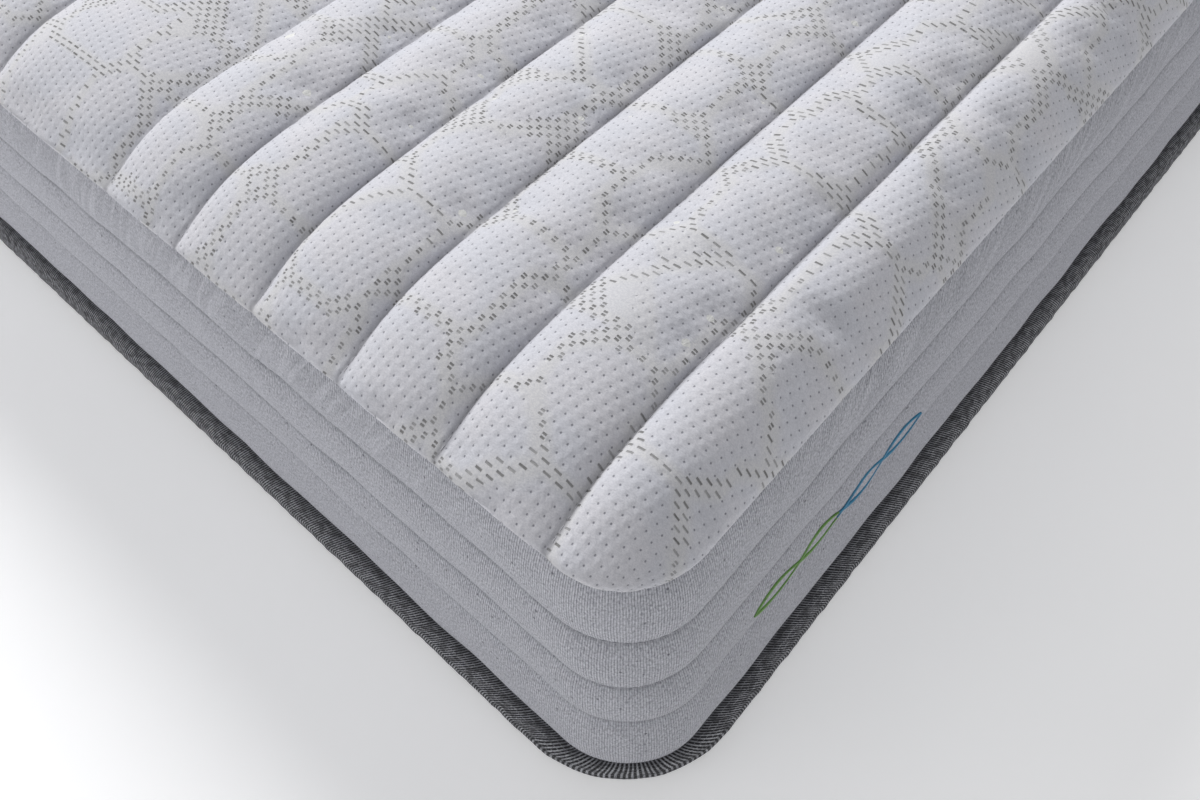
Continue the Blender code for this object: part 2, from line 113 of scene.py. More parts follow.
# Mesh band, and the panel under the mattress
BAND_WIDEST, BAND_LOWEST = 0.0068, 0.0004
BAND_REACH, BAND_TUCK, BAND_TURN = 0.0125, -0.0034, 0.0070
BAND_STEPS = 9
BAND_RIPPLE = 0.0006
PANEL = 0.0014
PANEL_INSETS = (0.0090, 0.0105, 0.015, 0.025)

# Zip, and how the band folds down behind it and is drawn in beside its ends
ZIP_HALF = 0.640
TAPE_HALF = ZIP_HALF + 0.016
ZIP_LEVEL = 0.0165
ZIP_SLOT = 0.0006
ZIP_FOLD = 0.0117
DRAWN_IN_AT = TAPE_HALF + 0.006
DRAWN_IN_HALF, DRAWN_IN_FADE = 0.016, 0.022
DRAWN_IN_TO = -0.0040
DRAWN_IN_ABOVE = 0.0095

# Stitches: lockstitch length and spacing, and how far the thread stands out
STITCH, STITCH_STEP, STITCH_RISE = 0.0050, 0.0065, 0.00045

# Generic stitched wave, measured along the right-hand side from the foot end
WAVE_START, WAVE_SPLIT, WAVE_END = 0.105, 0.195, 0.297
WAVE_LEVEL = (LINE_LEVELS[0] + LINE_LEVELS[1]) / 2
WAVE_AMPLITUDE = 0.009

# Lights: name, place, target, size and power
LIGHTS = (
    ("key", (-1.7, 0.4, 2.5), (0.1, 0.0, 0.25), 1.2, 88.0),
    ("front", (-0.9, -3.2, 0.7), (0.1, -HALF_Y, 0.15), 1.8, 17.0),
    ("right", (3.4, -0.4, 0.45), (HALF_X, -0.4, 0.12), 1.4, 5.0),
    ("above", (-0.1, 0.6, 2.9), (0.0, 0.3, 0.25), 2.0, 10.0),
)

# Camera, found from the photo's straight edges; its place is measured from the seam at the corner
CAMERA_RIGHT = Vector((0.7370, 0.6742, -0.0478))
CAMERA_FORWARD = Vector((-0.4891, 0.4832, -0.7262))
CAMERA_PLACE = Vector((HALF_X + 0.1485, -HALF_Y - 0.1781, BORDER_TOP + 0.5262))


# ---- shader graph

def operation(kind, swapped=False):
    """A method that adds a Math node of one kind."""

    def apply(self, *others):
        terms = (self, *others)
        return self.graph.math(kind, *(terms[::-1] if swapped else terms))

    return apply


class Value:
    """A shader socket that arithmetic can be written with."""

    def __init__(self, graph, socket):
        self.graph = graph
        self.socket = socket

    __add__ = operation("ADD")
    __radd__ = operation("ADD", swapped=True)
    __sub__ = operation("SUBTRACT")
    __rsub__ = operation("SUBTRACT", swapped=True)
    __mul__ = operation("MULTIPLY")
    __rmul__ = operation("MULTIPLY", swapped=True)
    __truediv__ = operation("DIVIDE")
    round = operation("ROUND")
    abs = operation("ABSOLUTE")
    sin = operation("SINE")
    max = operation("MAXIMUM")
    power = operation("POWER")
    below = operation("LESS_THAN")
    above = operation("GREATER_THAN")


class Graph:
    """A material under construction, with a Principled shader at its end."""

    def __init__(self, name):
        self.material = bpy.data.materials.new(name)
        self.material.use_nodes = True
        self.tree = self.material.node_tree
        self.shader = self.tree.nodes["Principled BSDF"]

    def feed(self, target, value):
        if isinstance(value, Value):
            self.tree.links.new(value.socket, target)
        elif isinstance(value, tuple) and len(value) == 3 and target.type == "RGBA":
            target.default_value = (*value, 1.0)
        else:
            target.default_value = value

    def node(self, kind, inputs=None, output=0, **settings):
        made = self.tree.nodes.new(kind)
        for key, value in settings.items():
            setattr(made, key, value)
        for key, value in (inputs or {}).items():
            self.feed(made.inputs[key], value)
        return Value(self, made.outputs[output])

    def math(self, kind, *terms):
        return self.node("ShaderNodeMath", dict(enumerate(terms)), operation=kind)

    def attribute(self, name, output):
        return self.node("ShaderNodeAttribute", output=output, attribute_name=name)

    def cloth(self):
        """The three parts of the coordinate stored along the cloth."""
        return self.split(self.attribute("cloth", "Vector"))

    def place(self):
        """The object coordinate, and its three parts."""
        parts = self.split(self.node("ShaderNodeTexCoord", output="Object"))
        return self.join(*parts), *parts

    def split(self, vector):
        made = self.tree.nodes.new("ShaderNodeSeparateXYZ")
        self.feed(made.inputs[0], vector)
        return [Value(self, made.outputs[i]) for i in range(3)]

    def join(self, x, y, z=0.0):
        return self.node("ShaderNodeCombineXYZ", {0: x, 1: y, 2: z})

    def noise(self, vector, scale, detail=2.0, roughness=0.5):
        inputs = {"Vector": vector, "Scale": scale, "Detail": detail, "Roughness": roughness}
        return self.node("ShaderNodeTexNoise", inputs)

    def cells(self, vector, feature, output="Distance", randomness=1.0, metric="EUCLIDEAN"):
        inputs = {"Vector": vector, "Scale": 1.0, "Randomness": randomness}
        settings = {"feature": feature, "voronoi_dimensions": "2D", "distance": metric}
        return self.node("ShaderNodeTexVoronoi", inputs, output, **settings)

    def ramp(self, value, low, high, to_low=0.0, to_high=1.0):
        """Maps low..high smoothly to to_low..to_high, held outside."""
        inputs = {"Value": value, "From Min": low, "From Max": high, "To Min": to_low, "To Max": to_high}
        return self.node("ShaderNodeMapRange", inputs, interpolation_type="SMOOTHSTEP", clamp=True)

    def fall(self, value, low, high):
        """1 below low, and 0 above high."""
        return self.ramp(value, low, high, 1.0, 0.0)

    def mix(self, share, first, second):
        """Mixes two colours."""
        return self.node("ShaderNodeMix", {0: share, 6: first, 7: second}, 2, data_type="RGBA")

    def tinted(self, colour, *layers):
        """Mixes further colours over one, each as (mask, strength, colour)."""
        for mask, strength, over in layers:
            colour = self.mix(mask * strength, colour, over)
        return colour

    def finish(self, colour, roughness, height=None, depth=0.001, metallic=0.0, sheen=0.0):
        """Feeds the shader; height 0..1 stands depth metres out."""
        self.feed(self.shader.inputs["Base Color"], colour)
        self.feed(self.shader.inputs["Roughness"], roughness)
        self.feed(self.shader.inputs["Metallic"], metallic)
        self.shader.inputs["Sheen Weight"].default_value = sheen
        if height is not None:
            bump = self.node("ShaderNodeBump", {"Height": height, "Distance": depth, "Strength": 1.0})
            self.feed(self.shader.inputs["Normal"], bump)
        return self.material


# ---- materials

def top_knit_material():
    """White double knit: satin-set pin dimples, and a network of paired and long grey-olive dashes."""
    g = Graph("top_knit")
    x, y, from_valley = g.cloth()
    figure_step, pin_step, cell = 0.0042, 0.0021, 0.064
    pair_gap, dash_thin, dash_thick = 0.00105, 0.00036, 0.00078

    s, t = ((x + y) / (2 * figure_step)).round(), ((x - y) / (2 * figure_step)).round()
    node_x, node_y = (s + t) * figure_step, (s - t) * figure_step
    off_x, off_y = (x - node_x).abs(), (y - node_y).abs()

    def network(px, py):
        warp = g.noise(g.join(px, py), 9.0, 1.0)
        vector = g.join(px / cell + warp * 0.25, py / cell)
        first, second = (g.cells(vector, kind, randomness=0.9, metric="CHEBYCHEV") for kind in ("F1", "F2"))
        return (second - first) * 0.5

    edge = network(node_x, node_y)
    spread = g.noise(g.join(node_x, node_y), 16.0, 1.0)
    long_style = g.noise(g.join(node_x + 3.1, node_y), 7.5, 0.0).above(0.53)
    wide = g.ramp(spread, 0.44, 0.66, 0.030, 0.080)
    pair_on = edge.below(wide) * (1.0 - long_style)
    long_on = edge.below(0.050) * long_style

    pair = g.fall(off_x, 0.0010, 0.0016) * g.fall((off_y - pair_gap).abs(), dash_thin, dash_thick)
    long_dash = g.fall(off_x, 0.0021, 0.0028) * g.fall(off_y, dash_thin, dash_thick)
    strength = g.ramp(g.noise(g.join(node_x, node_y), 210.0, 0.0), 0.3, 0.7, 0.6, 1.0)
    figures = (pair * pair_on + long_dash * long_on) * strength

    s = ((3.0 * x - y) / (10 * pin_step)).round()
    t = ((x + 3.0 * y) / (10 * pin_step)).round()
    pin_x, pin_y = (3.0 * s + t) * pin_step, (3.0 * t - s) * pin_step
    away_x, away_y = x - pin_x, y - pin_y
    away = (away_x * away_x + away_y * away_y).power(0.5)
    clear = network(pin_x, pin_y).above(wide * 0.8 + 0.02)
    pins = g.fall(away, 0.0003, 0.00085) * clear
    dimple = g.fall(away, 0.0004, 0.0034) * clear

    fine = g.noise(g.join(x * 0.6, y), 1500.0, 2.0)
    grain = g.noise(g.join(x * 0.8, y), 620.0, 2.0, 0.6)
    blotch = g.noise(g.join(x, y), 22.0, 2.0)
    colour = g.tinted(
        g.mix(g.ramp(blotch, 0.35, 0.65), (0.715, 0.72, 0.775), (0.755, 0.745, 0.785)),
        (g.fall(network(x, y), 0.02, 0.11), 0.8, (0.750, 0.740, 0.740)),
        (g.ramp(grain, 0.40, 0.68), 0.30, (0.50, 0.505, 0.55)),
        (g.ramp(fine, 0.35, 0.65), 0.30, (0.46, 0.47, 0.52)),
        (pins, 0.78, (0.17, 0.175, 0.21)),
        # Painted shade: the knit is darkened within a few millimetres of each sewn valley, as shade in the
        # crease
        (g.fall(from_valley, 0.0004, 0.0036), 0.40, (0.22, 0.22, 0.25)),
        (figures, 0.84, (0.150, 0.148, 0.142)),
    )
    height = 0.62 + fine * 0.08 + grain * 0.14 - dimple * 0.19 - pins * 0.14 - figures * 0.34
    return g.finish(colour, 0.9, height, depth=0.0015, sheen=0.15)


def border_material():
    """Grey melange rib knit: fine wales, mixed light and dark fibres, and sparse dark flecks."""
    g = Graph("border_knit")
    s, z, from_stitch = g.cloth()
    wale, course, speck_cell = 0.0015, 0.0014, 0.013
    drift = g.noise(g.join(s, z), 60.0, 1.0) * 1.4
    rib = (s * (math.pi / wale) + drift).sin().abs()
    loops = (z * (math.pi / course) + rib * 1.2).sin().abs()
    fibre = g.noise(g.join(s * 3.0, z * 0.8), 330.0, 3.0, 0.65)
    cloud = g.noise(g.join(s * 1.6, z), 70.0, 3.0, 0.6)
    melange = g.noise(g.join(s * 1.5, z), 480.0, 2.0, 0.7)
    speck_place = g.join(s / speck_cell, z / (speck_cell * 1.2))
    chosen = g.split(g.cells(speck_place, "F1", output="Color"))[0]
    flecks = g.fall(g.cells(speck_place, "F1"), 0.03, 0.085) * chosen.below(0.15)
    pull = g.noise(g.join(s - z * 0.55, z * 0.10), 170.0, 1.0)
    near_seam = g.ramp(z, -0.115, -0.010) * g.attribute("gather", "Fac")
    gathered = g.ramp(pull, 0.36, 0.62) * near_seam
    colour = g.tinted(
        g.mix(g.ramp(cloud, 0.33, 0.67), (0.470, 0.475, 0.525), (0.535, 0.540, 0.590)),
        (g.ramp(fibre, 0.38, 0.66), 0.50, (0.76, 0.76, 0.81)),
        (g.fall(fibre, 0.28, 0.48), 0.60, (0.21, 0.215, 0.25)),
        (g.fall(rib, 0.05, 0.60), 0.62, (0.15, 0.155, 0.185)),
        (g.ramp(melange, 0.50, 0.66), 0.42, (0.80, 0.80, 0.85)),
        (g.fall(melange, 0.34, 0.50), 0.46, (0.17, 0.175, 0.205)),
        (flecks, 0.75, (0.06, 0.06, 0.08)),
        # Painted shade in the troughs between the gathers under the top seam, and a painted highlight on
        # their ridges
        (near_seam - gathered, 0.12, (0.15, 0.155, 0.18)),
        (g.ramp(pull, 0.55, 0.66) * near_seam, 0.20, (0.72, 0.72, 0.77)),
        # Painted shade: the knit is darkened within a few millimetres of each stitched line, as shade in the
        # crease there
        (g.fall(from_stitch, 0.0004, 0.0034), 0.32, (0.11, 0.115, 0.135)),
    )
    height = rib.power(0.6) * 0.5 + loops * 0.10 + fibre * 0.22 + gathered * 0.9
    return g.finish(colour, 0.93, height, depth=0.0008, sheen=0.1)


def mesh_material():
    """Dark mesh: upright lighter threads, tied by fainter level ones, with dark holes between."""
    g = Graph("bottom_mesh")
    s, z, _ = g.cloth()
    along, across = 0.0022, 0.0036
    wander = g.noise(g.join(s, z * 0.3), 130.0, 1.0) * 1.8
    upright = g.fall((s * (math.pi / along) + wander).sin().abs(), 0.45, 0.85)
    level = g.ramp((z * (math.pi / across) + wander).sin().abs(), 0.10, 0.34, 0.50, 0.0)
    worn = g.ramp(g.noise(g.join(s * 0.7, z), 210.0, 1.0), 0.30, 0.62, 0.35, 1.0)
    # Painted shade: the yarn is darker near the band's top, as shade under the border's hem, and lighter
    # further down
    lit = g.ramp(z, -0.014, -0.005, 1.0, 0.30)
    solid = upright.max(level) * worn
    fibre = g.noise(g.join(s * 2.0, z), 900.0, 2.0)
    yarn = g.mix(g.ramp(fibre, 0.3, 0.7) * lit, (0.20, 0.205, 0.23), (0.70, 0.705, 0.74))
    colour = g.mix(solid, (0.014, 0.014, 0.017), yarn)
    return g.finish(colour, 0.8, solid * 0.8 + fibre * 0.2, depth=0.0011)


def yarn_material(name, dark, light, twist=0.0009):
    """Spun thread with a slanted twist."""
    g = Graph(name)
    place, x, y, z = g.place()
    strands = ((x + y + z * 0.7) * (math.pi / twist)).sin().abs()
    fibre = g.noise(place, 2500.0, 2.0)
    colour = g.mix(g.ramp(strands * 0.6 + fibre * 0.5, 0.2, 0.9), dark, light)
    return g.finish(colour, 0.55, strands * 0.7 + fibre * 0.3, depth=0.0002, sheen=0.2)


def woven_material(name, dark, light, step=0.0008):
    """Close plain weave."""
    g = Graph(name)
    place, x, y, z = g.place()
    warp = (x * (math.pi / step)).sin().abs()
    weft = ((y + z) * (math.pi / step)).sin().abs()
    fibre = g.noise(place, 1800.0, 2.0)
    colour = g.mix(g.ramp(warp * 0.5 + weft * 0.3 + fibre * 0.3, 0.2, 0.9), dark, light)
    return g.finish(colour, 0.85, (warp + weft) * 0.4 + fibre * 0.2, depth=0.0003)


def foam_material(name, dark, light):
    """Open foam: fine cells, and a slight drift of colour."""
    g = Graph(name)
    place, *_ = g.place()
    pores = g.node("ShaderNodeTexVoronoi", {"Vector": place, "Scale": 700.0}, "Distance")
    fine = g.noise(place, 260.0, 3.0)
    colour = g.mix(g.ramp(g.noise(place, 6.0, 2.0) * 0.5 + fine * 0.5, 0.3, 0.7), dark, light)
    return g.finish(colour, 0.95, pores * 0.6 + fine * 0.4, depth=0.0008)


def fibre_material(name, dark, light):
    """Matted fibres, as in wadding and non-woven sheet."""
    g = Graph(name)
    place, x, y, z = g.place()
    strands = g.noise(g.join(x * 3.0, y * 0.7, z * 3.0), 220.0, 4.0, 0.7)
    colour = g.mix(g.ramp(strands * 0.7 + g.noise(place, 40.0, 3.0) * 0.3, 0.3, 0.7), dark, light)
    return g.finish(colour, 0.95, strands, depth=0.0009)


def nylon_material():
    """Moulded nylon coil with a faint haze."""
    g = Graph("zip_coil")
    place, *_ = g.place()
    haze = g.noise(place, 500.0, 3.0)
    colour = g.mix(g.ramp(haze, 0.3, 0.7), (0.028, 0.028, 0.032), (0.060, 0.060, 0.066))
    return g.finish(colour, g.ramp(haze, 0.3, 0.7, 0.32, 0.5), haze, depth=0.0001)


def lacquer_material():
    """Gunmetal lacquer, rubbed brighter in places."""
    g = Graph("zip_metal")
    place, x, y, z = g.place()
    wear = g.noise(place, 350.0, 4.0, 0.6)
    grain = g.noise(g.join(x * 0.2, y, z * 4.0), 1500.0, 2.0)
    colour = g.mix(g.ramp(wear, 0.55, 0.75), (0.10, 0.10, 0.11), (0.36, 0.35, 0.34))
    return g.finish(colour, g.ramp(grain, 0.3, 0.7, 0.26, 0.44), grain, depth=0.00004, metallic=0.9)


def floor_material():
    """Pale studio floor with a barely seen mottling; its faint glow stands for the photo's white ground."""
    g = Graph("studio_floor")
    place, *_ = g.place()
    colour = g.mix(g.ramp(g.noise(place, 3.0, 3.0), 0.3, 0.7), (0.82, 0.82, 0.83), (0.86, 0.86, 0.87))
    g.feed(g.shader.inputs["Emission Color"], (1.0, 1.0, 1.0))
    g.feed(g.shader.inputs["Emission Strength"], 0.34)
    return g.finish(colour, 0.7)


# ---- mesh helpers

def smooth_waves(values, lengths, seed, period=None):
    """A repeatable one-dimensional noise of about -1..1, as a sum of waves; it repeats after a period."""
    rng = np.random.default_rng(seed)
    waves = [length * stretch for length in lengths for stretch in (1.0, 1.37, 0.71)]
    total = np.zeros_like(values, dtype=float)
    for wave in waves:
        if period:
            wave = period / round(period / wave)
        total += np.sin(2 * math.pi * values / wave + rng.uniform(0, 2 * math.pi))
    return total / len(waves) ** 0.5 / 1.2


def add_object(name, data):
    """An object in the scene for a mesh, a light or a camera."""
    made = bpy.data.objects.new(name, data)
    bpy.context.scene.collection.objects.link(made)
    return made


def store_attribute(mesh, name, kind, key, values):
    """Stores numbers at a mesh's points for its material to read."""
    store = mesh.attributes.new(name, kind, "POINT")
    store.data.foreach_set(key, np.asarray(values, dtype=np.float32).ravel())


def add_mesh(name, points, faces, material, replaces, cloth=None):
    """Makes a smooth mesh piece that rides on the mattress and stands for CAD nodes."""
    mesh = bpy.data.meshes.new(name)
    mesh.from_pydata(np.asarray(points).reshape(-1, 3).tolist(), [], faces)
    mesh.update()
    mesh.shade_smooth()
    if cloth is not None:
        store_attribute(mesh, "cloth", "FLOAT_VECTOR", "vector", cloth)
    mesh.materials.append(material)
    piece = add_object(name, mesh)
    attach(piece, BODY)
    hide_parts(*replaces)
    return piece


def grid_faces(rows, columns, flip=False, wrap_rows=False, wrap_columns=False):
    """Quads over a grid stored row by row, which may close on itself either way."""
    index = np.arange(rows * columns).reshape(rows, columns)
    if wrap_rows:
        index = np.vstack([index, index[:1]])
    if wrap_columns:
        index = np.hstack([index, index[:, :1]])
    corners = [index[:-1, :-1], index[:-1, 1:], index[1:, 1:], index[1:, :-1]]
    if flip:
        corners.reverse()
    return np.stack(corners, axis=-1).reshape(-1, 4).tolist()


def capped_faces(rows, columns):
    """Quads round a stack of loops, and a face over each end."""
    first = list(range(columns))
    last = [i + columns * (rows - 1) for i in first]
    return [*grid_faces(rows, columns, wrap_columns=True), first[::-1], last]


def grid_rim(rows, columns):
    """Point numbers round the edge of a grid stored row by row."""
    index = np.arange(rows * columns).reshape(rows, columns)
    return np.concatenate([index[0], index[1:, -1], index[-1, -2::-1], index[-2:0:-1, 0]]).tolist()


def wall_faces(lower, upper):
    """Quads between two loops of point numbers."""
    return list(zip(lower, [*lower[1:], lower[0]], [*upper[1:], upper[0]], upper))


def stacked(*parts):
    """Points or coordinates from their three parts, each an array or a number."""
    return np.stack(np.broadcast_arrays(*parts), axis=-1)


def path_lengths(path):
    """Distance along a path at each of its points."""
    steps = np.linalg.norm(np.diff(path, axis=0), axis=1)
    return np.concatenate([[0.0], np.cumsum(steps)])


def ease(share):
    """Eases a share from 0 to 1, and holds it outside."""
    share = np.clip(share, 0.0, 1.0)
    return share * share * (3 - 2 * share)


def corner_radius(z):
    """Plan radius of the cover's corners at a level."""
    share = np.clip((z - BAND_TOP) / BORDER_HEIGHT, 0.0, 1.0)
    return CORNER_BOTTOM + (CORNER_TOP - CORNER_BOTTOM) * share


# ---- quilted top

def seam_positions():
    """X of each sewn valley; where one is left unsewn, the channel is twice as wide."""
    return [HALF_X - EDGE_WIDTH - PITCH * k for k in range(PITCHES - 1) if k + 1 not in UNSEWN_VALLEYS]


def plan_columns(shares, stations):
    """Sharp-plan x values from +X to -X and each one's share across its channel."""
    side = [(HALF_X - d, d / EDGE_WIDTH) for d in stations]
    seams = seam_positions()
    middle = [(right + (left - right) * share, share)
              for right, left in zip(seams, seams[1:]) for share in shares]
    mirrored = [(-x, share) for x, share in reversed(side)]
    return np.array([*side, *middle, (seams[-1], 0.0), *mirrored]).T


def plan_rows(stations, step):
    """Sharp-plan y values from the foot end to the head end."""
    reach = HALF_Y - stations[-1]
    count = max(int(2 * reach / step), 4)
    middle = np.linspace(-reach, reach, count + 1)[1:-1]
    ends = np.array([HALF_Y - d for d in stations])
    return np.concatenate([-ends, middle, ends[::-1]])


def round_corners(x, y, radius, inset=0.0):
    """Moves sharp-plan points so that the plan, set in by inset, has round corners."""
    r = radius - inset
    a = np.clip((np.abs(x) - (HALF_X - radius)) / r, 0.0, 1.0)
    b = np.clip((np.abs(y) - (HALF_Y - radius)) / r, 0.0, 1.0)
    inside = (a > 0) & (b > 0)
    new_x = np.where(inside, np.sign(x) * (HALF_X - radius + r * a * np.sqrt(1 - b * b / 2)), x)
    new_y = np.where(inside, np.sign(y) * (HALF_Y - radius + r * b * np.sqrt(1 - a * a / 2)), y)
    return new_x, new_y


def axis_distances(x, y, radius):
    """Distances to the outline measured along X and along Y."""
    over_x = np.clip(np.abs(x) - (HALF_X - radius), 0.0, radius)
    over_y = np.clip(np.abs(y) - (HALF_Y - radius), 0.0, radius)
    reach_x = HALF_X - radius + np.sqrt(radius * radius - over_y * over_y)
    reach_y = HALF_Y - radius + np.sqrt(radius * radius - over_x * over_x)
    return np.maximum(reach_x - np.abs(x), 0.0), np.maximum(reach_y - np.abs(y), 0.0)


def outline_distance(x, y, radius):
    """Distance inwards from the outline, and the outward direction there."""
    ax, ay = np.abs(x) - (HALF_X - radius), np.abs(y) - (HALF_Y - radius)
    in_corner = (ax > 0) & (ay > 0)
    away = np.maximum(np.hypot(ax, ay), 1e-9)
    distance = np.where(in_corner, radius - away, radius - np.maximum(ax, ay))
    nx = np.where(in_corner, ax / away, np.where(ax > ay, 1.0, 0.0)) * np.sign(x)
    ny = np.where(in_corner, ay / away, np.where(ax > ay, 0.0, 1.0)) * np.sign(y)
    return np.maximum(distance, 0.0), nx, ny


def dome(x, y):
    """Height of the valleys above the perimeter seam."""
    dx, dy = axis_distances(x, y, CORNER_TOP)
    sides = np.maximum(1 - np.exp(-dx / ROLL_SIDE), 1e-6)
    ends = np.maximum(1 - np.exp(-dy / ROLL_END), 1e-6)
    blended = (sides**-DOME_BLEND + ends**-DOME_BLEND) ** (-1 / DOME_BLEND)
    return TOP_RISE * 2 ** (1 / DOME_BLEND) * blended


def crown(share):
    """A channel's rounded section: 0 at its creased valleys and 1 in the middle."""
    return (1 - np.abs(2 * share - 1) ** 2.5) ** 0.70


def smooth_between(places, knots, values):
    """Cubic interpolation of values, given row by row at rising knots."""
    slopes = np.gradient(values, knots, axis=0)
    left = np.clip(np.searchsorted(knots, places) - 1, 0, len(knots) - 2)
    width = (knots[left + 1] - knots[left])[:, None]
    t = (places - knots[left])[:, None] / width
    start, end = values[left], values[left + 1]
    bend = slopes[left] * (1 - t) - slopes[left + 1] * t
    return start + (end - start) * t * t * (3 - 2 * t) + bend * width * t * (1 - t)


def simulate_puff(points, xs, ys, shares):
    """How pressure swells the knit between its sewn valleys, found by cloth simulation on a coarser grid."""
    columns = np.array([i for i, u in enumerate(shares) if np.isclose(u % 1, SIM_SHARES, atol=1e-6).any()])
    edge = np.abs(xs) > HALF_X - EDGE_WIDTH + 1e-6
    columns = np.union1d(columns[~edge[columns]], np.flatnonzero(edge)[::3])
    columns = np.union1d(columns, [0, len(xs) - 1])
    rows = np.union1d(np.arange(0, len(ys), 2), [len(ys) - 1])
    start = points[np.ix_(rows, columns)]
    mesh = bpy.data.meshes.new("puff")
    mesh.from_pydata(start.reshape(-1, 3).tolist(), [], grid_faces(len(rows), len(columns), flip=True))
    cloth = add_object("puff", mesh)

    sewn = np.zeros((len(rows), len(columns)), dtype=bool)
    sewn[:, np.isin(columns, np.flatnonzero(shares == 0.0))] = True
    sewn[[0, 1, -2, -1]] = True
    sewn[:, [0, 1, -2, -1]] = True
    pins = cloth.vertex_groups.new(name="sewn")
    pins.add([int(i) for i in np.flatnonzero(sewn.ravel())], 1.0, "REPLACE")

    modifier = cloth.modifiers.new("cloth", "CLOTH")
    for key, value in SIM_SETTINGS.items():
        setattr(modifier.settings, key, value)
    modifier.settings.effector_weights.gravity = 0.0
    modifier.collision_settings.use_collision = False
    for frame_number in range(1, SIM_FRAMES + 1):
        bpy.context.scene.frame_set(frame_number)
    evaluated = cloth.evaluated_get(bpy.context.evaluated_depsgraph_get())
    found = np.empty(len(mesh.vertices) * 3, dtype=np.float32)
    evaluated.data.vertices.foreach_get("co", found)
    bpy.context.scene.frame_set(1)
    bpy.data.objects.remove(cloth)

    moved = found.reshape(start.shape).astype(float) - start
    far = np.maximum(np.linalg.norm(moved, axis=-1, keepdims=True), 1e-9)
    moved *= np.minimum(1.0, SIM_CAP / far)
    wide = smooth_between(ys, ys[rows], moved.reshape(len(rows), -1)).reshape(len(ys), len(columns), 3)
    across = np.swapaxes(wide, 0, 1).reshape(len(columns), -1)
    return np.swapaxes(smooth_between(-xs, -xs[columns], across).reshape(len(xs), len(ys), 3), 0, 1)


def make_top_knit(material):
    """The channel-quilted top: domed, puffed between the valleys and rolled over the perimeter seam."""
    xs, shares = plan_columns(CHANNEL_SHARES, EDGE_STATIONS)
    ys = plan_rows(END_STATIONS, ROW_STEP)
    sharp_x, sharp_y = np.meshgrid(xs, ys)
    x, y = round_corners(sharp_x, sharp_y, CORNER_TOP)
    distance, nx, ny = outline_distance(x, y, CORNER_TOP)

    channel = np.cumsum(shares == 0.0)
    plump = 1 + PLUMP_SPREAD * smooth_waves(y + 0.31 * channel, (0.19, 0.43), seed=5)
    rise = crown(shares) * PUFF * plump * (1 - np.exp(-distance / PUFF_START))

    from_valley = np.abs(xs[:, None] - np.array(seam_positions())).min(axis=1)
    pucker = smooth_waves(y + 1.7 * np.round(shares) + 0.77 * channel, (0.013, 0.021), seed=11)
    rise += VALLEY_PUCKER * pucker * np.exp(-from_valley / 0.010) * np.minimum(from_valley / 0.003, 1.0)
    pucker = smooth_waves(sharp_x + sharp_y * 0.9, (0.012, 0.023), seed=17)
    rise += EDGE_PUCKER * pucker * np.exp(-distance / 0.012) * np.minimum(distance / 0.002, 1.0)

    z = BORDER_TOP + KNIT + dome(x, y) + rise
    roll = distance / LIP_DEPTH
    out = (LIP + LIP_SWELL * crown(shares)) * roll * np.exp(1 - roll)
    out -= TUCK * np.exp(-distance / TUCK_DEPTH)
    sway = VALLEY_SWAY * smooth_waves(y + 0.4 * channel, (0.11, 0.31), seed=23) * (shares == 0.0)
    points = stacked(x + nx * out + sway, y + ny * out, z)
    points += simulate_puff(points, xs, ys, shares)
    along, across = path_lengths(points[len(ys) // 2]), path_lengths(points[:, len(xs) // 2])
    # The third part, the distance from the nearest valley, sets the painted shade along the valleys
    cloth = stacked(-along, across[:, None], from_valley)
    faces = grid_faces(len(ys), len(xs), flip=True)
    piece = add_mesh("top_knit", points, faces, material, ["top_knit_panel"], cloth)
    return points


# ---- border

def stations(step=STRAIGHT_STEP, turns=ARC_STEPS):
    """Stations round the outline as side, share along it and corner turn; the join is mid head end."""
    found = []
    for quarter in range(4):
        length = (WIDTH if quarter % 2 else LENGTH) - 2 * CORNER_TOP
        count = 2 * round(length / step / 2)
        found += [(quarter, i / count, 0.0) for i in range(count)]
        found += [(quarter, 1.0, i / turns) for i in range(turns)]
    first = found.index((1, 0.5, 0.0))
    return np.array([*found[first:], *found[: first + 1]])


def outline_ring(marks, z, radius, out):
    """Points round the outline at a level, for a corner radius and an offset outwards."""
    quarter, share, turn = marks.T
    angle = (quarter + turn) * math.pi / 2
    corners = np.array([(1, 1), (-1, 1), (-1, -1), (1, -1)])
    start, end = corners[quarter.astype(int) - 1], corners[quarter.astype(int)]
    centre = (start + (end - start) * share[:, None]) * (HALF_X - radius, HALF_Y - radius)
    x = centre[:, 0] + np.cos(angle) * (radius + out)
    y = centre[:, 1] + np.sin(angle) * (radius + out)
    return stacked(x, y, z)


def arc_lengths(marks):
    """Distance round the outline at each station."""
    return path_lengths(outline_ring(marks, 0.0, (CORNER_TOP + CORNER_BOTTOM) / 2, 0.0))


def border_profile():
    """Levels down the border and how far each stands out: tucked in, four bulged rows, and a rolled hem."""
    profile = [(BORDER_TOP + up, out) for up, out in TOP_HEM]
    edges = [BORDER_TOP, *reversed(LINE_LEVELS), BAND_TOP]
    for high, low in zip(edges, edges[1:]):
        for share in LEVEL_SHARES:
            if high == BORDER_TOP and share == 0.0:
                continue
            bulge = ROW_BULGE * (1 - abs(2 * share - 1) ** 2.2) ** 0.8
            if low == BAND_TOP:
                bulge += FOOT_SWELL * share**1.5
            profile.append((high - share * (high - low), bulge + ROW_CREASE))
    return profile + [(BAND_TOP + up, out) for up, out in FOOT_HEM]


def straightness(marks):
    """0 at the corners, where the border is pulled smooth, and 1 along the straight sides."""
    length = np.where(marks[:, 0] % 2 == 1, WIDTH, LENGTH) - 2 * CORNER_TOP
    from_corner = np.minimum(marks[:, 1], 1 - marks[:, 1]) * length
    smooth, fade = 0.03, 0.12
    return ease((from_corner - smooth) / fade)


